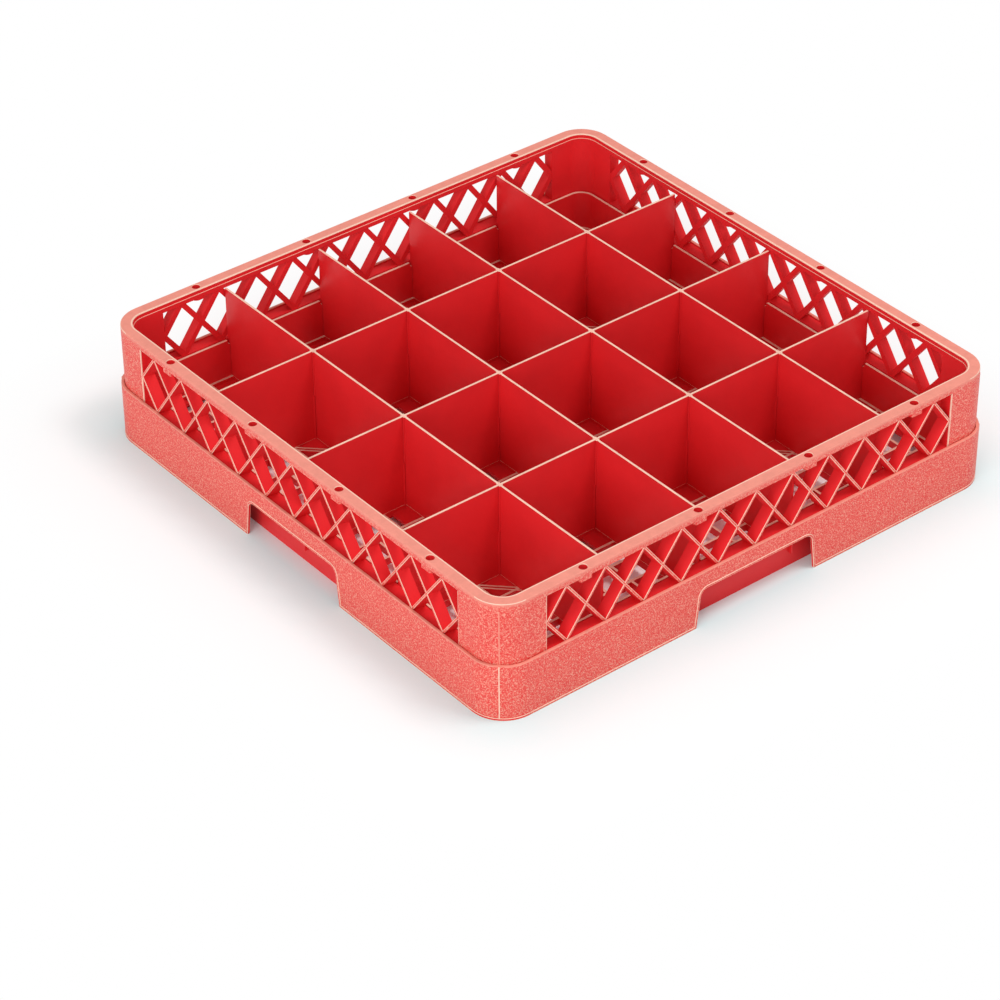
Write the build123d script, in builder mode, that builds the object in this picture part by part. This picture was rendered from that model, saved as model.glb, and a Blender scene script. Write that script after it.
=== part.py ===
"""Twenty-compartment cup rack: a double-walled tray, a lattice frame snapped on top and seven dividers."""
from build123d import *
import os
from math import hypot, radians, tan

os.makedirs("parts", exist_ok=True)

# Overall
rack_width = 500.0          # across the skirt, both ways
total_height = 103.4
corner_radius = 29.5        # outer corner of the skirt, and the centre of every other corner arc

# Skirt, the outer wall of the tray
lip_height = 3.2            # its top edge stands this far above the seat and locates the frame
skirt_wall = 2.5
bead_width = 2.2            # smooth border along the bottom edge and round each hand-hold
bead_depth = 0.4
ridge_width = 0.9           # mould parting line up each corner
ridge_depth = 0.3

# Seat flange that joins the two walls of the tray and carries the frame
seat_height = 46.3
flange_thickness = 2.5
gusset_thickness = 2.0
gusset_foot = 14.0          # height of the lower end of a gusset
gusset_places = (80.0, 125.0, 195.0)

# Hand-holds in the bottom edge of the skirt
hold_width_bottom = 119.0
hold_width_top = 111.0
hold_height = 33.8
hold_corner = 7.0

# Frame, the lattice upper wall with its rim
frame_step = 3.3            # its face stands in from the skirt's face
frame_wall = 10.5
frame_gap = 0.3             # clearance inside the lip of the skirt
rail_thickness = 1.6        # foot rail under the lattice
rim_thickness = 6.1
rim_step_height = 3.4       # shallow rebate inside the rim
rim_step = 0.7
rim_rounding = 0.6
corner_block = 45.7         # solid corner between two windows, from the frame's face
diamonds = 11               # whole diamonds along one window
web_thickness = 1.9         # at the frame's face; the draft of the window makes a web thicker inwards
web_depth = 10.0            # from the frame's face inwards
window_draft = 8.0          # degrees, on each side of a web and under the rim

# Pins and sockets that lock one layer to the next
socket_radius = 3.4
socket_boss_radius = 6.5
socket_boss_drop = 3.4
socket_chamfer = 0.3
socket_margin = 0.1         # flat left between a socket's chamfer and the rim's rounding
socket_cells = (1.5, 4.5)   # places along a side, in diamonds from its middle
pin_gap = 0.3
pin_head = 0.7              # how far the snap head stands out past the shank
pin_head_length = 6.0
pin_taper = 12.0            # degrees

# Inner wall of the tray
ledge = 3.2                 # its inner face stands in from the frame's inner face
wall_thickness = 2.0
slot_gap = 0.3              # clearance each side of a divider
slot_mouth = 3.4            # half width of the lead-in at the top of a slot
slot_mouth_depth = 4.0

# Floor grid
columns = 5                 # compartments along X
rows = 4                    # compartments along Y
column_cells = 4            # floor cells across one compartment
row_cells = 5
rib_width = 2.2
rib_top = 13.2
rib_bottom = 6.7
plate_top = 10.2
plate_thickness = 2.5
band_width = 8.0            # solid border of the floor along the wall
junction_half_width = 14.4
pad_inner_bar = 24.5        # diamond pad: distance from its middle to each bar, along X or Y
pad_outer_bar = 29.0
pad_bar_width = 1.5
dome_radius = 17.5
dome_gap = 0.2

# Dividers
divider_thickness = 1.8
divider_drop = 7.7          # below the rim's top
end_gap = 0.3               # clearance to the frame, at the ends
foot_reach = 2.4            # each end reaches this far below the frame's rail
foot_gap = 0.3
lap_gap = 0.15
post_width = 4.6            # thickened edge of a slot, along the divider
post_thickness = 3.4

# Half widths, from the outside in
rack_half = rack_width / 2
skirt_face = rack_half - bead_depth
skirt_inner = rack_half - skirt_wall
frame_half = rack_half - frame_step
lip_inner = frame_half + frame_gap
frame_inner = frame_half - frame_wall
rim_inner = frame_inner + rim_step
wall_inner = frame_inner - ledge
wall_outer = wall_inner + wall_thickness
grid_half = wall_inner + wall_thickness / 2
divider_half = frame_inner - end_gap
foot_half = divider_half + foot_reach

# Places that several pieces share
window_half = frame_half - corner_block
diamond_pitch = 2 * window_half / diamonds
window_top = total_height - rim_thickness
window_bottom = seat_height + rail_thickness
skirt_height = seat_height + lip_height
divider_top = total_height - divider_drop
socket_line = frame_half - rim_rounding - socket_chamfer - socket_margin - socket_radius
socket_flat = socket_line - socket_radius - rim_inner - rim_rounding
socket_lead = min(socket_chamfer, 0.8 * socket_flat)
socket_places = [side * cell * diamond_pitch for cell in socket_cells for side in (-1, 1)]
hole_radius = socket_radius
pin_radius = hole_radius - pin_gap
cell_x = 2 * grid_half / (columns * column_cells)
cell_y = 2 * grid_half / (rows * row_cells)
divider_x = [(number - columns / 2) * column_cells * cell_x for number in range(1, columns)]
divider_y = [(number - rows / 2) * row_cells * cell_y for number in range(1, rows)]
slot_width = divider_thickness + 2 * slot_gap
lap_width = divider_thickness + 2 * lap_gap
lap_height = (rib_top + divider_top) / 2
foot_top = seat_height - foot_gap

# One upright plane for each side, facing out of the rack
sides = {"front": Plane.front, "right": Plane.right, "back": Plane.back, "left": Plane.left}
# Long dividers end on the front and back, cross dividers on the right and left
slots_on_side = [divider_x, divider_y, divider_x, divider_y]


def rounded_square(half, mode=Mode.ADD):
    """A square about the origin whose corner arcs share the centre of the skirt's."""
    RectangleRounded(2 * half, 2 * half, corner_radius - (rack_half - half), mode=mode)


def ring(outer, inner):
    """The band between two rounded squares."""
    rounded_square(outer)
    rounded_square(inner, mode=Mode.SUBTRACT)


def hold_outline():
    """The opening of one hand-hold, standing on the bottom edge of the skirt."""
    Polygon(
        (-hold_width_bottom / 2, 0),
        (hold_width_bottom / 2, 0),
        (hold_width_top / 2, hold_height),
        (-hold_width_top / 2, hold_height),
        align=None,
    )
    fillet(vertices().group_by(Axis.Y)[-1], hold_corner)


# ---------------------------------------------------------------- tray: outer skirt
with BuildPart() as tray_skirt:
    with BuildSketch():
        ring(skirt_face, skirt_inner)
    extrude(amount=skirt_height)
    with BuildSketch():
        ring(rack_half, skirt_inner)
    extrude(amount=bead_width)
    with BuildSketch(Plane.XY.offset(seat_height)):
        ring(skirt_face, lip_inner)
    extrude(amount=skirt_height - seat_height)
    # borders of the hand-holds, then the openings themselves
    with BuildSketch(*[side.offset(skirt_inner) for side in sides.values()]) as borders:
        hold_outline()
        offset(amount=bead_width)
        with Locations((0, -hold_height / 2)):
            Rectangle(2 * hold_width_bottom, hold_height, mode=Mode.SUBTRACT)
    extrude(amount=skirt_wall)
    with BuildSketch(*[side.offset(skirt_inner - skirt_wall) for side in sides.values()]) as openings:
        hold_outline()
    extrude(amount=3 * skirt_wall, mode=Mode.SUBTRACT)
    # parting lines
    corner_reach = (rack_half - corner_radius) * 2**0.5 + corner_radius - bead_depth
    with BuildSketch():
        with PolarLocations(corner_reach, 4, start_angle=45):
            Rectangle(2 * ridge_depth, ridge_width)
    extrude(amount=skirt_height)
tray_skirt.part.label = "tray_skirt"
export_step(tray_skirt.part, "parts/tray_skirt.step")

# ---------------------------------------------------------------- tray: flange between the two walls, with its ribs
with BuildPart() as tray_flange:
    with BuildSketch(Plane.XY.offset(seat_height - flange_thickness)):
        ring(skirt_inner, wall_outer)
    extrude(amount=flange_thickness)
    # sockets for the frame's pins
    with BuildSketch(Plane.XY.offset(seat_height)):
        with PolarLocations(0, 4):
            with Locations(*[(place, -socket_line) for place in socket_places]):
                Circle(hole_radius)
    extrude(amount=-flange_thickness, mode=Mode.SUBTRACT)
    # room under the frame for the feet of the dividers
    for side, places in zip(sides.values(), slots_on_side):
        with BuildSketch(side.offset(wall_outer)):
            with Locations(*[(place, seat_height - flange_thickness / 2) for place in places]):
                Rectangle(slot_width, flange_thickness)
        extrude(amount=foot_half + slot_gap - wall_outer, mode=Mode.SUBTRACT)
tray_flange.part.label = "tray_flange"
export_step(tray_flange.part, "parts/tray_flange.step")

with BuildPart() as tray_ribs:
    rib_height = seat_height - flange_thickness - gusset_foot
    with BuildSketch(*[side.offset(wall_outer) for side in sides.values()]):
        for place in gusset_places:
            with Locations((-place, gusset_foot + rib_height / 2), (place, gusset_foot + rib_height / 2)):
                Rectangle(gusset_thickness, rib_height)
    extrude(amount=skirt_inner - wall_outer)
tray_ribs.part.label = "tray_ribs"
export_step(tray_ribs.part, "parts/tray_ribs.step")

# ---------------------------------------------------------------- tray: inner wall
with BuildPart() as tray_wall:
    with BuildSketch():
        ring(wall_outer, wall_inner)
        with GridLocations(rack_width, rack_width, 2, 2):
            Rectangle(2 * corner_radius, 2 * corner_radius, mode=Mode.SUBTRACT)
    extrude(amount=window_bottom)
    for side, places in zip(sides.values(), slots_on_side):
        with BuildSketch(side.offset(wall_inner - wall_thickness)):
            slot_height = window_bottom - rib_top
            with Locations(*[(place, rib_top + slot_height / 2) for place in places]):
                Rectangle(slot_width, slot_height)
            with Locations(*[(place, window_bottom) for place in places]):
                Ellipse(slot_mouth, slot_mouth_depth)
        extrude(amount=3 * wall_thickness, mode=Mode.SUBTRACT)
tray_wall.part.label = "tray_wall"
export_step(tray_wall.part, "parts/tray_wall.step")

with BuildPart() as tray_wall_corners:
    with BuildSketch():
        ring(wall_outer, wall_inner)
        straight = rack_width - 2 * corner_radius
        Rectangle(straight, 2 * rack_width, mode=Mode.SUBTRACT)
        Rectangle(2 * rack_width, straight, mode=Mode.SUBTRACT)
    extrude(amount=window_bottom)
tray_wall_corners.part.label = "tray_wall_corners"
export_step(tray_wall_corners.part, "parts/tray_wall_corners.step")

# ---------------------------------------------------------------- tray: floor grid
pad_places = [(x, y) for x in (divider_x[0], divider_x[-1]) for y in (divider_y[0], divider_y[-1])]
junction_places = [(x, y) for x in divider_x for y in divider_y if (x, y) not in pad_places]

with BuildPart() as dome:
    dome_height = rib_top - dome_gap - plate_top
    with BuildSketch(Plane.XZ):
        with BuildLine():
            crown_height = plate_top + dome_height
            crown = ThreePointArc((-dome_radius, plate_top), (0, crown_height), (dome_radius, plate_top))
            Line(crown @ 1, crown @ 0)
        make_face()
        split(bisect_by=Plane.YZ)
    revolve(axis=Axis.Z)

with BuildPart() as tray_floor:
    with BuildSketch(Plane.XY.offset(rib_bottom)) as ribs:
        ring(wall_inner, wall_inner - rib_width)
        for reach in (pad_outer_bar, pad_inner_bar):
            bar_outside = reach * 2**0.5
            bar_inside = bar_outside - 2 * pad_bar_width
            with Locations(*pad_places):
                Rectangle(bar_outside, bar_outside, rotation=45)
                Rectangle(bar_inside, bar_inside, rotation=45, mode=Mode.SUBTRACT)
        with GridLocations(cell_x, 0, columns * column_cells - 1, 1):
            Rectangle(rib_width, 2 * wall_inner)
        with GridLocations(0, cell_y, 1, rows * row_cells - 1):
            Rectangle(2 * wall_inner, rib_width)
        rounded_square(wall_inner, mode=Mode.INTERSECT)
    extrude(amount=rib_top - rib_bottom)
    with BuildSketch(Plane.XY.offset(plate_top - plate_thickness)) as plates:
        rounded_square(wall_inner)
        Rectangle(2 * (wall_inner - band_width), 2 * (wall_inner - band_width), mode=Mode.SUBTRACT)
        with Locations(*junction_places):
            Rectangle(2 * junction_half_width, 2 * cell_y)
        with Locations(*pad_places):
            Rectangle(pad_outer_bar * 2**0.5, pad_outer_bar * 2**0.5, rotation=45)
    extrude(amount=plate_thickness)
    with Locations(*pad_places):
        add(dome.part)
tray_floor.part.label = "tray_floor"
export_step(tray_floor.part, "parts/tray_floor.step")

# ---------------------------------------------------------------- frame: rim, corners and lattice sides
window_height = window_top - window_bottom
window_middle = (window_top + window_bottom) / 2
web_growth = web_depth * tan(radians(window_draft))
web_length = hypot(window_height, diamond_pitch) + 2 * (web_thickness + 2 * web_growth)
head_drop = frame_wall * tan(radians(window_draft))

web_places = [(number - diamonds / 2) * diamond_pitch for number in range(diamonds + 1)]
web_section = [
    (-web_thickness / 2, 0),
    (-web_thickness / 2 - web_growth, -web_depth),
    (web_thickness / 2 + web_growth, -web_depth),
    (web_thickness / 2, 0),
]


with BuildPart() as frame_rim:
    with BuildSketch(Plane.XY.offset(window_top)):
        ring(frame_half, frame_inner)
    extrude(amount=rim_thickness - rim_step_height)
    with BuildSketch(Plane.XY.offset(total_height - rim_step_height)):
        ring(frame_half, rim_inner)
    extrude(amount=rim_step_height)
    fillet(faces().sort_by(Axis.Z)[-1].edges(), rim_rounding)
    # bosses under the rim, kept within its width
    with BuildSketch(Plane.XY.offset(window_top - socket_boss_drop)) as bosses:
        with PolarLocations(0, 4):
            with Locations(*[(place, -socket_line) for place in socket_places]):
                Circle(socket_boss_radius)
        rounded_square(frame_half, mode=Mode.INTERSECT)
        rounded_square(frame_inner, mode=Mode.SUBTRACT)
    extrude(amount=socket_boss_drop)
    with BuildSketch(Plane.XY.offset(total_height)) as sockets:
        with PolarLocations(0, 4):
            with Locations(*[(place, -socket_line) for place in socket_places]):
                Circle(socket_radius)
    extrude(amount=-(rim_thickness + socket_boss_drop), mode=Mode.SUBTRACT)
    rim_edges = faces().sort_by(Axis.Z)[-1].edges().filter_by(GeomType.CIRCLE)
    chamfer(rim_edges.filter_by(lambda edge: edge.radius < socket_radius + 0.1), socket_lead)
frame_rim.part.label = "frame_rim"
export_step(frame_rim.part, "parts/frame_rim.step")

with BuildPart() as frame_corners:
    with BuildSketch(Plane.XY.offset(seat_height)):
        ring(frame_half, frame_inner)
        Rectangle(2 * window_half, 2 * rack_width, mode=Mode.SUBTRACT)
        Rectangle(2 * rack_width, 2 * window_half, mode=Mode.SUBTRACT)
    extrude(amount=window_top - seat_height)
    ridge_reach = (rack_half - corner_radius) * 2**0.5 + corner_radius - frame_step
    with BuildSketch(Plane.XY.offset(skirt_height)):
        with PolarLocations(ridge_reach, 4, start_angle=45):
            Rectangle(2 * ridge_depth, ridge_width)
    extrude(amount=window_top - skirt_height)
frame_corners.part.label = "frame_corners"
export_step(frame_corners.part, "parts/frame_corners.step")

for side_name, side in sides.items():
    with BuildPart() as lattice:
        face = side.offset(frame_half)
        slants = [side.x_dir * lean + Vector(0, 0, window_height) for lean in (-diamond_pitch, diamond_pitch)]
        web_planes = [
            Plane(face.from_local_coords((place, window_middle)), x_dir=side.z_dir.cross(slant), z_dir=slant)
            for slant in slants
            for place in web_places
        ]
        with BuildSketch(*web_planes) as webs:
            Polygon(*web_section, align=None)
        extrude(amount=web_length / 2, both=True)
        with BuildSketch(face) as window:
            with Locations((0, window_middle)):
                Rectangle(2 * window_half, window_height)
        extrude(amount=-web_depth, mode=Mode.INTERSECT)
        # sloping head of the window under the rim, round the bosses
        with BuildSketch(Plane(face.origin, x_dir=side.z_dir, z_dir=-side.x_dir)) as head:
            Polygon((0, window_top), (-frame_wall, window_top - head_drop), (-frame_wall, window_top), align=None)
        extrude(amount=window_half, both=True)
        pins_on_side = [(place, -socket_line) for place in socket_places]
        with BuildSketch(Plane((0, 0, window_top), x_dir=side.x_dir, z_dir=(0, 0, 1))) as bosses:
            with Locations(*pins_on_side):
                Circle(socket_boss_radius)
        extrude(amount=-socket_boss_drop, mode=Mode.SUBTRACT)
        with BuildSketch(face) as rail:
            with Locations((0, seat_height + rail_thickness / 2)):
                Rectangle(2 * window_half, rail_thickness)
        extrude(amount=-frame_wall)
        # snap pins below the rail
        seat = Plane(origin=(0, 0, seat_height), x_dir=side.x_dir, z_dir=(0, 0, 1))
        with BuildSketch(seat):
            with Locations(*pins_on_side):
                Circle(pin_radius)
        extrude(amount=-(flange_thickness + pin_gap))
        with BuildSketch(seat.offset(-(flange_thickness + pin_gap))):
            with Locations(*pins_on_side):
                Circle(pin_radius + pin_head)
        extrude(amount=-pin_head_length, taper=pin_taper)
    lattice.part.label = f"lattice_{side_name}"
    export_step(lattice.part, f"parts/lattice_{side_name}.step")


def divider_outline():
    """Side view of a divider: a straight strip whose ends have feet below the frame's rail."""
    with Locations((0, (rib_top + divider_top) / 2)):
        Rectangle(2 * divider_half, divider_top - rib_top)
    with Locations((0, (rib_top + foot_top) / 2)):
        Rectangle(2 * foot_half, foot_top - rib_top)


# ---------------------------------------------------------------- long dividers, along Y
for number, place in enumerate(divider_x, start=1):
    with BuildPart() as long_divider:
        with BuildSketch(Plane.YZ.offset(place)):
            divider_outline()
        extrude(amount=divider_thickness / 2, both=True)
        with BuildSketch(Plane.YZ.offset(place)):
            post_height = divider_top - lap_height - lap_gap
            with Locations(*[(y, divider_top - post_height / 2) for y in divider_y]):
                Rectangle(post_width, post_height)
        extrude(amount=post_thickness / 2, both=True)
        with BuildSketch(Plane.YZ.offset(place)):
            lap_depth = divider_top - lap_height + lap_gap
            with Locations(*[(y, divider_top - lap_depth / 2) for y in divider_y]):
                Rectangle(lap_width, lap_depth)
        extrude(amount=post_thickness, both=True, mode=Mode.SUBTRACT)
    long_divider.part.label = f"long_divider_{number}"
    export_step(long_divider.part, f"parts/long_divider_{number}.step")

# ---------------------------------------------------------------- cross dividers, along X
for number, place in enumerate(divider_y, start=1):
    with BuildPart() as cross_divider:
        with BuildSketch(Plane.XZ.offset(-place)):
            divider_outline()
        extrude(amount=divider_thickness / 2, both=True)
        with BuildSketch(Plane.XZ.offset(-place)):
            post_height = lap_height - lap_gap - rib_top
            with Locations(*[(x, rib_top + post_height / 2) for x in divider_x]):
                Rectangle(post_width, post_height)
        extrude(amount=post_thickness / 2, both=True)
        with BuildSketch(Plane.XZ.offset(-place)):
            lap_depth = lap_height + lap_gap - rib_top
            with Locations(*[(x, rib_top + lap_depth / 2) for x in divider_x]):
                Rectangle(lap_width, lap_depth)
        extrude(amount=post_thickness, both=True, mode=Mode.SUBTRACT)
    cross_divider.part.label = f"cross_divider_{number}"
    export_step(cross_divider.part, f"parts/cross_divider_{number}.step")
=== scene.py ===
import math

import bmesh
import bpy
from mathutils import Matrix, Vector


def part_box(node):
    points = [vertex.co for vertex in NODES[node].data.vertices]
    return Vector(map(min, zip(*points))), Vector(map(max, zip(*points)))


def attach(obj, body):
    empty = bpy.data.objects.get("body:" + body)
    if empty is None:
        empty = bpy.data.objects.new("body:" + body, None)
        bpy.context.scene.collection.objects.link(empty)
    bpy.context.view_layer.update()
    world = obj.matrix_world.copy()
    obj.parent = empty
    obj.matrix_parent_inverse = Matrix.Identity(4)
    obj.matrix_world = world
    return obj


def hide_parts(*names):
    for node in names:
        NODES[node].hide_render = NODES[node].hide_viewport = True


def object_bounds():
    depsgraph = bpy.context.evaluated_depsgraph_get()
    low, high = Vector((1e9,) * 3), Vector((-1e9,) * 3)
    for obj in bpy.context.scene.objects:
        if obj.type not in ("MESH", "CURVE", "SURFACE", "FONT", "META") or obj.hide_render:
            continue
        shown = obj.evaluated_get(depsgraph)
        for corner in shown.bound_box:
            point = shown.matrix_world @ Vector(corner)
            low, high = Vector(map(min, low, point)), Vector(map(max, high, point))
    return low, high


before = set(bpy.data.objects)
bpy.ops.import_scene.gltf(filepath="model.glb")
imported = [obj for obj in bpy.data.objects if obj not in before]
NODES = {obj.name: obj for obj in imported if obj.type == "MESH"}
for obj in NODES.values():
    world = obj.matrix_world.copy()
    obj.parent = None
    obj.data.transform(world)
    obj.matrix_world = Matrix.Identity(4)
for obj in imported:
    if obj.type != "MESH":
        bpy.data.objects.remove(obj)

bl_info = {
    "name": "Cup Rack",
    "version": (1, 0, 0),
    "blender": (4, 5, 0),
    "location": "View3D > Sidebar > Cup Rack",
    "description": "Dresses the packed cup rack as moulded red plastic, on a pale stage",
    "category": "Object",
}

MM = 0.001
SAME = 0.1 * MM  # places this close count as one
CLEAR = 1 * MM  # places this far from a face are clear of it

# levels and half widths of the rack
RACK_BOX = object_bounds()
RACK_HALF = RACK_BOX[1][0]
RACK_TOP = RACK_BOX[1][2]
SKIRT_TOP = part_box("tray_skirt")[1].z
CORNER_RADIUS = 29.5 * MM
STRAIGHT_HALF = RACK_HALF - CORNER_RADIUS
FRAME_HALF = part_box("frame_rim")[1].x
WINDOW_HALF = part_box("lattice_front")[1].x
WINDOW_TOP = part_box("frame_corners")[1].z
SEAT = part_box("frame_corners")[0].z
RAIL_TOP = SEAT + 2 * MM
DIVIDER_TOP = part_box("long_divider_1")[1].z

# the rim and its sockets
RIM_SKIN = RACK_TOP - 0.7 * MM  # bottom of the band that is rubbed pale
RIM_STEP = RACK_TOP - 3.4 * MM  # step on the inside
RIM_INSIDE = 17.0 * MM  # inner edge, outwards from the straight half width
# painted highlight: a pale line along the rim's inner edge
HIGHLIGHT_LINE_FADE = (RIM_INSIDE + 0.5 * MM, RIM_INSIDE + 1.1 * MM)  # outer side of the pale inner line
FACE_FADE = (RACK_TOP - 3.5 * MM, RACK_TOP - 1.0 * MM)  # levels where the outer face turns pale
WINDOW_FADE = (WINDOW_TOP, WINDOW_TOP + 0.5 * MM)  # levels where that begins over a window
SOCKET_LINE = FRAME_HALF - 4.4 * MM  # the sockets' axes, from the middle planes
SOCKET_PLACES = (54.818 * MM, 164.455 * MM)  # and along each side
SOCKET_MOUTH = 3.8 * MM  # radius at the top
SOCKET_AREA = 4 * MM  # radius that holds all of a socket's faces
LEAD_LEVELS = (RACK_TOP - 0.4 * MM, RACK_TOP - 0.2 * MM)  # about a socket's inner lead edge

# the parting line up each corner of the mould
RIDGE_HALF = 0.75 * MM  # half its width
RIDGE_DEPTH = 3.7 * MM  # how far in from the tray's corner it can lie

# the tray
BEAD_TOP = 2.4 * MM  # top of the bead along the foot of the skirt
CREST_DEPTH = 6 * MM  # how far below the inner wall's top its edges are rounded
FLOOR_SKIN = 0.05 * MM  # how far below the top of the floor grid a face is still its top

# how far inwards from a half width its outer edges and faces are looked for
WALL_ZONE = 31 * MM
SKIRT_ZONE = 26 * MM
SKIRT_TOP_ZONE = 20 * MM

# roundings that aren't in the settings
SKIRT_TOP_ROUND = 0.8 * MM
WINDOW_TOP_ROUND = 0.7 * MM
FINE_ROUND = 0.3 * MM
ROUND_SEGMENTS = 2

# upward parts of a unit normal or direction
LEVEL, DRAFT, HALFWAY, STEEP = 0.1, 0.3, 0.5, 0.9
SLANT = (0.2, 0.97)  # the narrow slanted faces beside the rim's flat top

# mesh cleaning
DOUBLES = 0.002 * MM
SLIVERS = 0.01 * MM
FLAT_ANGLE = math.radians(0.4)
SHARP_ANGLE = math.radians(40)
SMOOTH_ANGLE = math.radians(32)

NOISE_SPAN = (0.3, 0.7)  # where most of a noise texture's values lie
CRUMB_PITCH = 1.6  # fine crumbs of the grain to one wrinkle

# the stage
KEY_PLACE, KEY_SIZE = (0.6, -0.9, 2.4), 0.8
FILL_PLACE, FILL_SIZE = (-3.0, -1.3, 1.5), 2.0
FLOOR_SIZE = 12.0
SENSOR_WIDTH = 36.0
CLIP_END = 50.0
COOL_SHARE = 0.4  # share of the reach over which the cooler floor colour fades

# material slots on every moulded piece; EDGE is the pale edge colour of rubbed wear and painted
# highlight
SMOOTH, GRAINED, EDGE, RUBBED, MATTE = range(5)


class PlasticSettings(bpy.types.PropertyGroup):
    """Colours and grain of the moulded plastic."""

    inner_colour: bpy.props.FloatVectorProperty(
        name="Smooth plastic", description="Colour of the smooth inner faces",
        default=(0.80, 0.024, 0.029), subtype="COLOR", size=3, min=0.0, max=1.0)
    outer_colour: bpy.props.FloatVectorProperty(
        name="Grained plastic", description="Colour of the grained outer faces",
        default=(0.87, 0.095, 0.067), subtype="COLOR", size=3, min=0.0, max=1.0)
    rim_colour: bpy.props.FloatVectorProperty(
        name="Rim", description="Colour of the flat top of the rim",
        default=(0.86, 0.285, 0.215), subtype="COLOR", size=3, min=0.0, max=1.0)
    # pale edge colour: rubbed wear and a painted highlight on lit edges
    edge_wear_and_highlight_colour: bpy.props.FloatVectorProperty(
        name="Rubbed and highlit edges", description="Colour of the edges rubbed pale by handling, with their painted highlight",
        default=(0.97, 0.60, 0.46), subtype="COLOR", size=3, min=0.0, max=1.0)
    grain_size: bpy.props.FloatProperty(
        name="Grain size", description="Size of the wrinkles of the leather grain",
        default=1.1 * MM, min=0.2 * MM, max=5 * MM, unit="LENGTH")
    grain_depth: bpy.props.FloatProperty(
        name="Grain depth", description="Height of the grain",
        default=0.16 * MM, min=0.0, max=1 * MM, unit="LENGTH")


class EdgeSettings(bpy.types.PropertyGroup):
    """Roundings of the moulded edges."""

    moulding: bpy.props.FloatProperty(
        name="Mouldings", description="Rounding of the edges of the tray and the frame",
        default=0.45 * MM, min=0.05 * MM, max=1 * MM, unit="LENGTH")
    lattice: bpy.props.FloatProperty(
        name="Lattice", description="Rounding of the edges of the lattice webs",
        default=0.4 * MM, min=0.05 * MM, max=0.8 * MM, unit="LENGTH")
    divider: bpy.props.FloatProperty(
        name="Dividers", description="Rounding of the edges of the dividers",
        default=0.3 * MM, min=0.05 * MM, max=0.7 * MM, unit="LENGTH")


class StageSettings(bpy.types.PropertyGroup):
    """Camera, lamps and floor."""

    camera_place: bpy.props.FloatVectorProperty(
        name="Camera", description="Where the camera stands",
        default=(-1.4528, -1.7689, 1.6011), subtype="TRANSLATION", unit="LENGTH", size=3)
    heading: bpy.props.FloatProperty(
        name="Heading", description="Direction the camera looks in, from the X axis",
        default=math.radians(51.527), subtype="ANGLE")
    tilt: bpy.props.FloatProperty(
        name="Tilt", description="How far the camera looks down",
        default=math.radians(35.769), subtype="ANGLE")
    roll: bpy.props.FloatProperty(
        name="Roll", description="Turn of the camera about its line of sight",
        default=math.radians(-0.516), subtype="ANGLE")
    lens: bpy.props.FloatProperty(
        name="Lens", description="Focal length in millimetres on a 36 mm sensor",
        default=125.68, min=10.0, max=500.0)
    sky: bpy.props.FloatProperty(
        name="Sky", description="Strength of the even light all round",
        default=0.60, min=0.0, max=2.0)
    key: bpy.props.FloatProperty(
        name="Key lamp", description="Power of the soft lamp high in front, in watts",
        default=22.0, min=0.0, max=500.0)
    fill: bpy.props.FloatProperty(
        name="Fill lamp", description="Power of the large soft lamp on the left, in watts",
        default=48.0, min=0.0, max=500.0)
    floor_white: bpy.props.FloatProperty(
        name="Floor white",
        description="How far the floor beside the rack is lifted to white in the picture",
        default=0.15, min=0.0, max=1.0)
    floor_colour: bpy.props.FloatVectorProperty(
        name="Floor", description="Colour of the floor", default=(1.0, 1.0, 1.0),
        subtype="COLOR", size=3, min=0.0, max=1.0)
    shade_colour: bpy.props.FloatVectorProperty(
        name="Floor by the rack",
        description="Cooler colour of the floor beside the rack, against its red glow",
        default=(0.71, 0.92, 0.93), subtype="COLOR", size=3, min=0.0, max=1.0)
    shade_reach: bpy.props.FloatProperty(
        name="Reach", description="How far out from the rack the floor turns fully white",
        default=0.13, min=0.01, max=2.0, unit="LENGTH")


# ---------------------------------------------------------------- materials
def shader_nodes(name):
    """A new material: (material, nodes, links, Principled shader, place on the object)."""
    material = bpy.data.materials.new(name)
    material.use_nodes = True
    nodes, links = material.node_tree.nodes, material.node_tree.links
    place = nodes.new("ShaderNodeTexCoord").outputs["Object"]
    return material, nodes, links, nodes["Principled BSDF"], place


def noise(nodes, links, place, scale, detail=3.0, roughness=0.5, distortion=0.0):
    """A noise texture at a scale in repeats per metre."""
    texture = nodes.new("ShaderNodeTexNoise")
    texture.inputs["Scale"].default_value = scale
    texture.inputs["Detail"].default_value = detail
    texture.inputs["Roughness"].default_value = roughness
    texture.inputs["Distortion"].default_value = distortion
    links.new(place, texture.inputs["Vector"])
    return texture.outputs["Fac"]


def ramp(nodes, links, value, stops):
    """Spreads a value over colour stops: [(position, colour), ...]."""
    node = nodes.new("ShaderNodeValToRGB")
    elements = node.color_ramp.elements
    for element, (position, colour) in zip(elements, stops[:2]):
        element.position = position
        element.color = (*colour, 1.0)
    for position, colour in stops[2:]:
        elements.new(position).color = (*colour, 1.0)
    links.new(value, node.inputs["Fac"])
    return node.outputs["Color"]


def span(nodes, links, value, low, high, to_low, to_high):
    """Maps a value from one range to another."""
    node = nodes.new("ShaderNodeMapRange")
    node.inputs["From Min"].default_value = low
    node.inputs["From Max"].default_value = high
    node.inputs["To Min"].default_value = to_low
    node.inputs["To Max"].default_value = to_high
    links.new(value, node.inputs["Value"])
    return node.outputs["Result"]


def combine(nodes, links, operation, one, two):
    """One value from two."""
    node = nodes.new("ShaderNodeMath")
    node.operation = operation
    links.new(one, node.inputs[0])
    links.new(two, node.inputs[1])
    return node.outputs[0]


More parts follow.
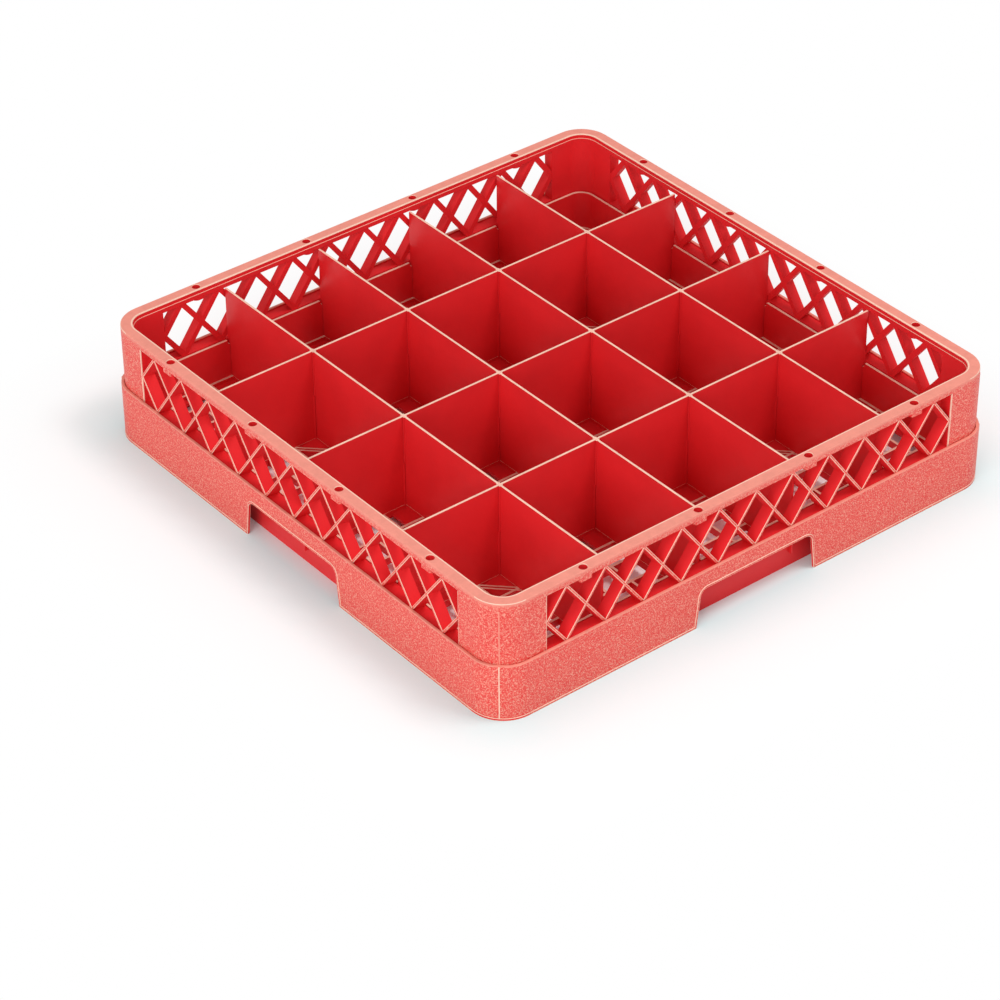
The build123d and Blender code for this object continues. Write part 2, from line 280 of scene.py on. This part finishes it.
def bump(nodes, links, height, distance, strength, below=None):
    """Raises a surface by a height field."""
    node = nodes.new("ShaderNodeBump")
    node.inputs["Distance"].default_value = distance
    node.inputs["Strength"].default_value = strength
    links.new(height, node.inputs["Height"])
    if below is not None:
        links.new(below, node.inputs["Normal"])
    return node.outputs["Normal"]


def tint(colour, factor):
    """A colour scaled in brightness."""
    return tuple(min(1.0, part * factor) for part in colour)


def mixed(one, two, share):
    """A colour between two colours."""
    return tuple(first + (second - first) * share for first, second in zip(one, two))


def mix(nodes, links, factor, one, two, blend="MIX"):
    """Mixes two colours, each given as a tuple or as a socket."""
    node = nodes.new("ShaderNodeMix")
    node.data_type = "RGBA"
    node.blend_type = blend
    if isinstance(factor, float):
        node.inputs["Factor"].default_value = factor
    else:
        links.new(factor, node.inputs["Factor"])
    for socket, source in ((node.inputs[6], one), (node.inputs[7], two)):
        if isinstance(source, tuple):
            socket.default_value = (*source, 1.0)
        else:
            links.new(source, socket)
    return node.outputs[2]


def outline_reach(nodes, links, place):
    """Distance from the rack's square core, which is the same all round a rounded outline."""
    zero = (0.0, 0.0, 0.0)
    # flatten, fold the four quarters into one, take the core away, and measure what is left
    steps = (("MULTIPLY", (1.0, 1.0, 0.0)), ("ABSOLUTE", zero),
             ("SUBTRACT", (STRAIGHT_HALF, STRAIGHT_HALF, 0.0)), ("MAXIMUM", zero), ("LENGTH", zero))
    for operation, amount in steps:
        step = nodes.new("ShaderNodeVectorMath")
        step.operation = operation
        step.inputs[1].default_value = amount
        links.new(place, step.inputs[0])
        place = step.outputs[1 if operation == "LENGTH" else 0]
    return place


def red_plastic(settings, name, dull, gloss):
    """Smooth faces: flow marks, fine scratches and a faint ripple."""
    material, nodes, links, shader, place = shader_nodes(name)
    colour = settings.inner_colour
    flow = noise(nodes, links, place, scale=18.0)
    base = ramp(nodes, links, flow, [(0.3, tint(colour, 0.93)), (0.7, tint(colour, 1.05))])
    links.new(base, shader.inputs["Base Color"])
    wear = noise(nodes, links, place, scale=260.0, detail=5.0, roughness=0.65)
    rough = span(nodes, links, wear, *NOISE_SPAN, dull, dull + 0.12)
    links.new(rough, shader.inputs["Roughness"])
    ripple = noise(nodes, links, place, scale=45.0, detail=2.0)
    skin = noise(nodes, links, place, scale=1100.0, detail=2.0)
    normal = bump(nodes, links, ripple, distance=0.4 * MM, strength=0.2)
    normal = bump(nodes, links, skin, distance=0.02 * MM, strength=0.3, below=normal)
    links.new(normal, shader.inputs["Normal"])
    shader.inputs["Specular IOR Level"].default_value = gloss
    return material


def smooth_plastic(settings):
    """Glossy inner faces."""
    return red_plastic(settings, "smooth red plastic", dull=0.30, gloss=0.25)


def matte_plastic(settings):
    """Duller sides of the lattice webs and of the corners beside them."""
    return red_plastic(settings, "matte red plastic", dull=0.55, gloss=0.12)


def grained_plastic(settings):
    """Outer faces with a wrinkled leather grain, paler towards the top of the rim."""
    material, nodes, links, shader, place = shader_nodes("grained red plastic")
    colour, inner, edge = settings.outer_colour, settings.inner_colour, settings.edge_wear_and_highlight_colour
    pitch = 1.0 / settings.grain_size
    wrinkles = noise(nodes, links, place, pitch, detail=1.5, roughness=0.45, distortion=0.8)
    height = span(nodes, links, wrinkles, 0.34, 0.66, 0.0, 1.0)
    fine = noise(nodes, links, place, pitch * CRUMB_PITCH, roughness=0.65)
    patch = noise(nodes, links, place, scale=9.0)
    speckle = ramp(nodes, links, height, [
        (0.0, mixed(colour, inner, 0.80)), (0.40, mixed(colour, inner, 0.25)),
        (0.60, mixed(colour, edge, 0.10)), (1.0, mixed(colour, edge, 0.50))])
    white, shade = (1.0,) * 3, (0.95,) * 3
    cloud = ramp(nodes, links, patch, [(0.3, shade), (0.7, white)])
    crumbs = ramp(nodes, links, fine, [(0.34, shade), (0.52, white)])
    base = mix(nodes, links, 1.0, speckle, cloud, "MULTIPLY")
    base = mix(nodes, links, 1.0, base, crumbs, "MULTIPLY")
    spread = nodes.new("ShaderNodeSeparateXYZ")
    links.new(place, spread.inputs["Vector"])
    level = spread.outputs["Z"]
    # mixes in the rim colour towards the top of the outer face, only above the windows' top level
    paler_towards_top = span(nodes, links, level, *FACE_FADE, 0.15, 0.85)
    above_window = span(nodes, links, level, *WINDOW_FADE, 0.0, 1.0)
    rubbed = combine(nodes, links, "MULTIPLY", paler_towards_top, above_window)
    base = mix(nodes, links, rubbed, base, tuple(settings.rim_colour))
    links.new(base, shader.inputs["Base Color"])
    links.new(span(nodes, links, fine, *NOISE_SPAN, 0.40, 0.6), shader.inputs["Roughness"])
    depth = settings.grain_depth
    normal = bump(nodes, links, height, distance=depth, strength=1.0)
    normal = bump(nodes, links, fine, distance=depth * 0.5, strength=0.8, below=normal)
    links.new(normal, shader.inputs["Normal"])
    shader.inputs["Specular IOR Level"].default_value = 0.45
    return material


def rim_plastic(settings):
    """Flat rim top, rubbed dull and pale by stacking, with a painted highlight line along its inner
    edge.
    """
    material, nodes, links, shader, place = shader_nodes("rubbed rim plastic")
    colour = settings.rim_colour
    mottle = noise(nodes, links, place, scale=160.0, detail=5.0, roughness=0.6)
    base = ramp(nodes, links, mottle, [(0.3, tint(colour, 0.93)), (0.72, tint(colour, 1.07))])
    # painted highlight: the edge colour as a pale line along the inner edge of the top
    reach = outline_reach(nodes, links, place)
    line = span(nodes, links, reach, *HIGHLIGHT_LINE_FADE, 1.0, 0.0)
    base = mix(nodes, links, line, base, tuple(settings.edge_wear_and_highlight_colour))
    links.new(base, shader.inputs["Base Color"])
    scuff = noise(nodes, links, place, scale=900.0, roughness=0.6)
    links.new(span(nodes, links, scuff, *NOISE_SPAN, 0.42, 0.58), shader.inputs["Roughness"])
    normal = bump(nodes, links, scuff, distance=0.06 * MM, strength=0.5)
    links.new(normal, shader.inputs["Normal"])
    shader.inputs["Specular IOR Level"].default_value = 0.4
    return material


def edge_wear_and_highlight_plastic(settings):
    """Thin pale line along edges: rubbed wear, and a painted highlight where edges catch the light."""
    material, nodes, links, shader, place = shader_nodes("rubbed and highlit edge plastic")
    colour = settings.edge_wear_and_highlight_colour
    wear = noise(nodes, links, place, scale=120.0, detail=4.0, roughness=0.6)
    base = ramp(nodes, links, wear, [(0.28, tint(colour, 0.86)), (0.7, tint(colour, 1.08))])
    links.new(base, shader.inputs["Base Color"])
    links.new(span(nodes, links, wear, *NOISE_SPAN, 0.34, 0.5), shader.inputs["Roughness"])
    normal = bump(nodes, links, wear, distance=0.05 * MM, strength=0.4)
    links.new(normal, shader.inputs["Normal"])
    return material


def pale_floor(settings):
    """Floor that whitens outwards from the rack, alike on all sides, and keeps its shadow."""
    material, nodes, links, shader, place = shader_nodes("pale floor")
    reach = outline_reach(nodes, links, place)
    white_from = CORNER_RADIUS + settings.shade_reach
    near = span(nodes, links, reach, 0.0, white_from, 0.0, 1.0)
    foot = CORNER_RADIUS / white_from
    plain = tuple(settings.floor_colour)
    floor_shade = ramp(nodes, links, near, [
        (0.0, plain), (foot, tuple(settings.shade_colour)),
        (foot + COOL_SHARE * (1.0 - foot), plain)])
    whiteness = ramp(nodes, links, near, [
        (0.0, (0.0,) * 3), (foot, (settings.floor_white,) * 3), (1.0, (1.0,) * 3)])
    links.new(floor_shade, shader.inputs["Base Color"])
    shader.inputs["Roughness"].default_value = 0.9
    shader.inputs["Specular IOR Level"].default_value = 0.0
    path = nodes.new("ShaderNodeLightPath").outputs
    seen = path["Is Camera Ray"]
    for ray in ("Is Glossy Ray", "Is Transmission Ray"):
        seen = combine(nodes, links, "MAXIMUM", seen, path[ray])
    blend = nodes.new("ShaderNodeMixShader")
    links.new(combine(nodes, links, "MULTIPLY", seen, whiteness), blend.inputs[0])
    links.new(shader.outputs[0], blend.inputs[1])
    links.new(nodes.new("ShaderNodeEmission").outputs[0], blend.inputs[2])
    links.new(blend.outputs[0], nodes["Material Output"].inputs["Surface"])
    return material


def plastics():
    """The five finishes, made once."""
    settings = bpy.context.scene.rack_plastic
    makers = {
        "smooth red plastic": smooth_plastic,
        "grained red plastic": grained_plastic,
        "rubbed and highlit edge plastic": edge_wear_and_highlight_plastic,
        "rubbed rim plastic": rim_plastic,
        "matte red plastic": matte_plastic,
    }
    return [bpy.data.materials.get(name) or maker(settings) for name, maker in makers.items()]


# ---------------------------------------------------------------- mesh helpers
def only(piece):
    """Selects one piece alone and makes it active."""
    bpy.ops.object.select_all(action="DESELECT")
    piece.select_set(True)
    bpy.context.view_layer.objects.active = piece


def moulded_copy(node, name, joined=True, cuts=(STRAIGHT_HALF,)):
    """A copy of a CAD node as one clean mesh, with doubles merged.

    Where joined, its flat faces are also joined, but not across the cuts at these half widths.
    """
    piece = bpy.data.objects.new(name, NODES[node].data.copy())
    bpy.context.scene.collection.objects.link(piece)
    piece.data.materials.clear()
    for material in plastics():
        piece.data.materials.append(material)
    for polygon in piece.data.polygons:
        polygon.material_index = SMOOTH
    only(piece)
    bpy.ops.object.mode_set(mode="EDIT")
    bpy.ops.mesh.select_all(action="SELECT")
    bpy.ops.mesh.customdata_custom_splitnormals_clear()
    bpy.ops.mesh.remove_doubles(threshold=DOUBLES)
    if joined:
        for across in ((1, 0, 0), (0, 1, 0)):
            for half in (side * cut for cut in cuts for side in (-1, 1)):
                bpy.ops.mesh.select_all(action="SELECT")
                bpy.ops.mesh.bisect(plane_co=[part * half for part in across], plane_no=across)
                bpy.ops.mesh.mark_seam(clear=False)
        bpy.ops.mesh.select_all(action="SELECT")
        bpy.ops.mesh.remove_doubles(threshold=SLIVERS)
        bpy.ops.mesh.dissolve_limited(angle_limit=FLAT_ANGLE, delimit={"SEAM"})
        bpy.ops.mesh.mark_seam(clear=True)
    bpy.ops.object.mode_set(mode="OBJECT")
    return piece


def round_edges(piece, width, wanted, slot=EDGE):
    """Rounds the sharp outer edges that a test on middle and direction picks, and paints them, by
    default in the pale edge colour of rubbed wear and painted highlight.
    """
    only(piece)
    bpy.ops.object.mode_set(mode="EDIT")
    bpy.ops.mesh.select_mode(type="EDGE")
    bpy.ops.mesh.select_all(action="DESELECT")
    shape = bmesh.from_edit_mesh(piece.data)
    found = False
    for edge in shape.edges:
        if len(edge.link_faces) != 2 or edge.calc_face_angle_signed() < SHARP_ANGLE:
            continue
        one, two = (vertex.co for vertex in edge.verts)
        if wanted((one + two) / 2, (two - one).normalized()):
            edge.select_set(True)
            found = True
    bmesh.update_edit_mesh(piece.data)
    if found:
        bpy.ops.mesh.bevel(offset_type="OFFSET", offset=width, segments=ROUND_SEGMENTS,
                           profile=0.5, affect="EDGES", clamp_overlap=False, material=slot)
    bpy.ops.object.mode_set(mode="OBJECT")


def paint_faces(piece, slot, wanted):
    """Gives a slot to the faces that a test on their middle and normal picks, but for faces already in
    the pale edge colour of rubbed wear and painted highlight.
    """
    for polygon in piece.data.polygons:
        if polygon.material_index != EDGE and wanted(polygon.center, polygon.normal):
            polygon.material_index = slot


def finish_piece(piece, slot, *nodes):
    """Smooths a piece's shading, and puts it in place of its CAD nodes."""
    only(piece)
    bpy.ops.object.shade_smooth_by_angle(angle=SMOOTH_ANGLE)
    bpy.ops.object.modifier_add(type="WEIGHTED_NORMAL")
    piece.modifiers[-1].keep_sharp = True
    bpy.ops.object.modifier_apply(modifier=piece.modifiers[-1].name)
    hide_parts(*nodes)
    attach(piece, "root")


# ---------------------------------------------------------------- tests on places
def far_side(place):
    """The larger of a place's distances from the middle planes."""
    return max(abs(place.x), abs(place.y))


def near_side(place):
    """The smaller of a place's distances from the middle planes."""
    return min(abs(place.x), abs(place.y))


def outwards(middle, normal):
    """Positive where a face looks away from the rack's middle, negative where it looks in."""
    return middle.x * normal.x + middle.y * normal.y


def on_ridge(middle):
    """Whether a place is on the mould parting line up a corner."""
    corner_reach = STRAIGHT_HALF * 2**0.5 + CORNER_RADIUS
    reach = (abs(middle.x) + abs(middle.y)) / 2**0.5
    on_diagonal = abs(abs(middle.x) - abs(middle.y)) < RIDGE_HALF
    return on_diagonal and reach > corner_reach - RIDGE_DEPTH


def at_socket(middle, reach):
    """Whether a place is within reach of a socket's axis."""
    near, far = near_side(middle), far_side(middle)
    return any(math.hypot(far - SOCKET_LINE, near - place) < reach for place in SOCKET_PLACES)


def over_window(middle):
    """Whether a place is on the frame's outer face, between the corners."""
    return far_side(middle) > FRAME_HALF - SAME and near_side(middle) < WINDOW_HALF - SAME


def at_window_end(middle):
    """Whether a place is on the plane where a corner ends at a window."""
    return abs(near_side(middle) - WINDOW_HALF) < SAME


def outer_face(middle, normal, half):
    """Whether a face is an upright outer face of a wall at this half width."""
    upright = abs(normal.z) < DRAFT
    return upright and outwards(middle, normal) > 0 and far_side(middle) > half - WALL_ZONE


def web_edge(middle, along):
    """Whether an edge is a web's edge at the frame's outer face."""
    if not RAIL_TOP <= middle.z <= WINDOW_TOP - SAME:
        return False
    return over_window(middle) and abs(along.z) > LEVEL


# ---------------------------------------------------------------- pieces
class CUPRACK_OT_skirt(bpy.types.Operator):
    """Makes the outer wall of the tray, with its flange and ribs"""

    bl_idname = "cuprack.skirt"
    bl_label = "Tray skirt"

    def execute(self, context):
        width = context.scene.rack_edges.moulding
        skirt = moulded_copy("tray_skirt", "skirt")
        round_edges(skirt, SKIRT_TOP_ROUND, lambda middle, along: middle.z > SKIRT_TOP - SAME
                    and far_side(middle) > FRAME_HALF - SKIRT_TOP_ZONE
                    and not on_ridge(middle), slot=RUBBED)
        # outer edges and the parting line up each corner get the pale edge colour: rubbed wear and
        # painted highlight
        round_edges(skirt, width, lambda middle, along: middle.z < SKIRT_TOP - CLEAR
                    and far_side(middle) > RACK_HALF - SKIRT_ZONE and not on_ridge(middle))
        paint_faces(skirt, GRAINED, lambda middle, normal: middle.z > BEAD_TOP
                    and outer_face(middle, normal, RACK_HALF))
        paint_faces(skirt, EDGE, lambda middle, normal: middle.z > BEAD_TOP
                    and on_ridge(middle) and abs(normal.z) < LEVEL)
        paint_faces(skirt, RUBBED, lambda middle, normal: middle.z > SKIRT_TOP - SAME
                    and normal.z > HALFWAY)
        finish_piece(skirt, "textured_plastic", "tray_skirt")
        for node, name in (("tray_flange", "flange"), ("tray_ribs", "flange_ribs")):
            piece = moulded_copy(node, name, joined=False)
            finish_piece(piece, "smooth_plastic", node)
        return {"FINISHED"}


class CUPRACK_OT_tray(bpy.types.Operator):
    """Makes the inner wall and the grid floor of the tray"""

    bl_idname = "cuprack.tray"
    bl_label = "Tray wall and floor"

    def execute(self, context):
        width = context.scene.rack_edges.moulding
        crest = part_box("tray_wall")[1].z
        for node, name in (("tray_wall", "inner_wall"), ("tray_wall_corners", "inner_wall_corners")):
            wall = moulded_copy(node, name)
            # the crest is rounded and its top painted the pale edge colour: rubbed wear and a painted
            # highlight on the lit crest
            round_edges(wall, width, lambda middle, along: middle.z > crest - CREST_DEPTH
                        and abs(along.z) < STEEP)
            paint_faces(wall, EDGE, lambda middle, normal: middle.z > crest - CLEAR
                        and normal.z > HALFWAY)
            finish_piece(wall, "smooth_plastic", node)
        floor = moulded_copy("tray_floor", "floor_grid", joined=False)
        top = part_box("tray_floor")[1].z
        # the tops of the floor grid are painted the pale edge colour: a painted highlight of the lit
        # tops, with rubbed wear
        paint_faces(floor, EDGE, lambda middle, normal: middle.z > top - FLOOR_SKIN
                    and normal.z > STEEP)
        finish_piece(floor, "smooth_plastic", "tray_floor")
        return {"FINISHED"}


class CUPRACK_OT_frame(bpy.types.Operator):
    """Makes the rim, the corners and the lattice sides of the upper frame"""

    bl_idname = "cuprack.frame"
    bl_label = "Upper frame"

    def execute(self, context):
        edges = context.scene.rack_edges
        rim = moulded_copy("frame_rim", "rim", cuts=(STRAIGHT_HALF, WINDOW_HALF))
        # the step inside, the edge over each window and the lead into each socket, rounded in the pale
        # edge colour of rubbed wear and painted highlight
        round_edges(rim, FINE_ROUND, lambda middle, along: abs(middle.z - RIM_STEP) < SAME)
        round_edges(rim, WINDOW_TOP_ROUND, lambda middle, along: over_window(middle)
                    and abs(middle.z - WINDOW_TOP) < SAME)
        round_edges(rim, FINE_ROUND, lambda middle, along: LEAD_LEVELS[0] < middle.z < LEAD_LEVELS[1]
                    and abs(along.z) < HALFWAY and at_socket(middle, SOCKET_MOUTH))
        # the top is rubbed, its slanted rims are paler in the edge colour of rubbed wear and painted
        # highlight, and the grain starts below it
        paint_faces(rim, RUBBED, lambda middle, normal: middle.z > RIM_SKIN
                    and (normal.z > SLANT[0] or not at_socket(middle, SOCKET_AREA)))
        paint_faces(rim, EDGE, lambda middle, normal: middle.z > RIM_SKIN
                    and SLANT[0] < normal.z < SLANT[1]
                    and (at_socket(middle, SOCKET_AREA) or near_side(middle) > STRAIGHT_HALF
                         or outwards(middle, normal) < 0))
        paint_faces(rim, GRAINED, lambda middle, normal: middle.z < RIM_SKIN
                    and outer_face(middle, normal, FRAME_HALF)
                    and not at_socket(middle, SOCKET_AREA))
        finish_piece(rim, "textured_plastic", "frame_rim")

        corners = moulded_copy("frame_corners", "corners")
        # upright edges where the corners meet the windows, rounded in the pale edge colour of rubbed
        # wear and painted highlight
        round_edges(corners, 2 * edges.moulding, lambda middle, along: abs(along.z) > STEEP
                    and at_window_end(middle) and far_side(middle) > FRAME_HALF - CLEAR)
        paint_faces(corners, GRAINED, lambda middle, normal: outer_face(middle, normal, FRAME_HALF))
        paint_faces(corners, MATTE, lambda middle, normal: abs(normal.z) < LEVEL
                    and at_window_end(middle))
        paint_faces(corners, RUBBED, lambda middle, normal: abs(normal.z) < LEVEL
                    and on_ridge(middle))
        finish_piece(corners, "textured_plastic", "frame_corners")

        for side in ("front", "right", "back", "left"):
            node = f"lattice_{side}"
            lattice = moulded_copy(node, node + "_webs")
            paint_faces(lattice, MATTE, lambda middle, normal: True)
            # the webs' outer edges are rounded in the pale edge colour of rubbed wear and painted
            # highlight
            round_edges(lattice, edges.lattice, web_edge)
            paint_faces(lattice, GRAINED, lambda middle, normal: far_side(middle) > FRAME_HALF - SAME
                        and outer_face(middle, normal, FRAME_HALF))
            finish_piece(lattice, "textured_plastic", node)
        return {"FINISHED"}


class CUPRACK_OT_dividers(bpy.types.Operator):
    """Makes the long and the cross dividers"""

    bl_idname = "cuprack.dividers"
    bl_label = "Dividers"

    def execute(self, context):
        width = context.scene.rack_edges.divider
        for node in sorted(name for name in NODES if "divider" in name):
            piece = moulded_copy(node, node + "_sheet")
            # the top edges are rounded, and the tops painted, in the pale edge colour of rubbed wear
            # and painted highlight
            round_edges(piece, width, lambda middle, along: middle.z > DIVIDER_TOP - SAME)
            round_edges(piece, width, lambda middle, along: middle.z < DIVIDER_TOP - CLEAR
                        and abs(along.z) > STEEP, slot=SMOOTH)
            paint_faces(piece, EDGE, lambda middle, normal: middle.z > DIVIDER_TOP - CLEAR
                        and normal.z > STEEP)
            finish_piece(piece, "smooth_plastic", node)
        return {"FINISHED"}


# ---------------------------------------------------------------- stage
def lamp(name, place, size, power):
    """A soft square lamp that faces the middle of the floor."""
    bpy.ops.object.light_add(type="AREA", location=place)
    light = bpy.context.object
    light.name = name
    light.data.shape = "SQUARE"
    light.data.size = size
    light.data.energy = power
    light.rotation_euler = (-Vector(place)).to_track_quat("-Z", "Y").to_euler()


class CUPRACK_OT_stage(bpy.types.Operator):
    """Sets the floor, the lamps, the sky and the camera"""

    bl_idname = "cuprack.stage"
    bl_label = "Stage"

    def execute(self, context):
        scene = context.scene
        settings = scene.rack_stage
        bpy.ops.object.select_all(action="DESELECT")
        bpy.ops.mesh.primitive_plane_add(size=FLOOR_SIZE, location=(0, 0, 0))
        floor = bpy.context.object
        floor.name = "studio_floor"
        floor.data.materials.append(pale_floor(settings))

        world = bpy.data.worlds.new("even sky")
        scene.world = world
        world.use_nodes = True
        sky = world.node_tree.nodes["Background"]
        sky.inputs["Color"].default_value = (1.0, 1.0, 1.0, 1.0)
        sky.inputs["Strength"].default_value = settings.sky
        lamp("key_lamp", KEY_PLACE, KEY_SIZE, settings.key)
        lamp("fill_lamp", FILL_PLACE, FILL_SIZE, settings.fill)

        bpy.ops.object.camera_add(location=settings.camera_place)
        camera = bpy.context.object
        turn = Matrix.Rotation(settings.heading - math.pi / 2, 4, "Z")
        turn = turn @ Matrix.Rotation(math.pi / 2 - settings.tilt, 4, "X")
        turn = turn @ Matrix.Rotation(settings.roll, 4, "Z")
        camera.rotation_euler = turn.to_euler()
        camera.data.lens = settings.lens
        camera.data.sensor_width = SENSOR_WIDTH
        camera.data.clip_end = CLIP_END
        scene.camera = camera
        scene.view_settings.view_transform = "Standard"
        return {"FINISHED"}


class CUPRACK_PT_panel(bpy.types.Panel):
    """Sizes, colours and pieces of the rack"""

    bl_idname = "CUPRACK_PT_panel"
    bl_label = "Cup Rack"
    bl_space_type = "VIEW_3D"
    bl_region_type = "UI"
    bl_category = "Cup Rack"

    def draw(self, context):
        layout = self.layout
        scene = context.scene
        for group in (scene.rack_plastic, scene.rack_edges, scene.rack_stage):
            box = layout.box()
            for name in group.__annotations__:
                box.prop(group, name)
        for operator in OPERATORS:
            layout.operator(operator.bl_idname)


OPERATORS = (CUPRACK_OT_skirt, CUPRACK_OT_tray, CUPRACK_OT_frame, CUPRACK_OT_dividers, CUPRACK_OT_stage)
GROUPS = {"rack_plastic": PlasticSettings, "rack_edges": EdgeSettings, "rack_stage": StageSettings}


def register():
    """Registers the classes and puts their settings on the scene."""
    for cls in (*GROUPS.values(), *OPERATORS, CUPRACK_PT_panel):
        bpy.utils.register_class(cls)
    for name, group in GROUPS.items():
        setattr(bpy.types.Scene, name, bpy.props.PointerProperty(type=group))


def unregister():
    """Takes the settings off the scene and unregisters the classes."""
    for name in GROUPS:
        delattr(bpy.types.Scene, name)
    for cls in reversed((*GROUPS.values(), *OPERATORS, CUPRACK_PT_panel)):
        bpy.utils.unregister_class(cls)


def main():
    """Builds everything."""
    register()
    bpy.ops.cuprack.skirt()
    bpy.ops.cuprack.tray()
    bpy.ops.cuprack.frame()
    bpy.ops.cuprack.dividers()
    bpy.ops.cuprack.stage()


if __name__ == "__main__":
    main()
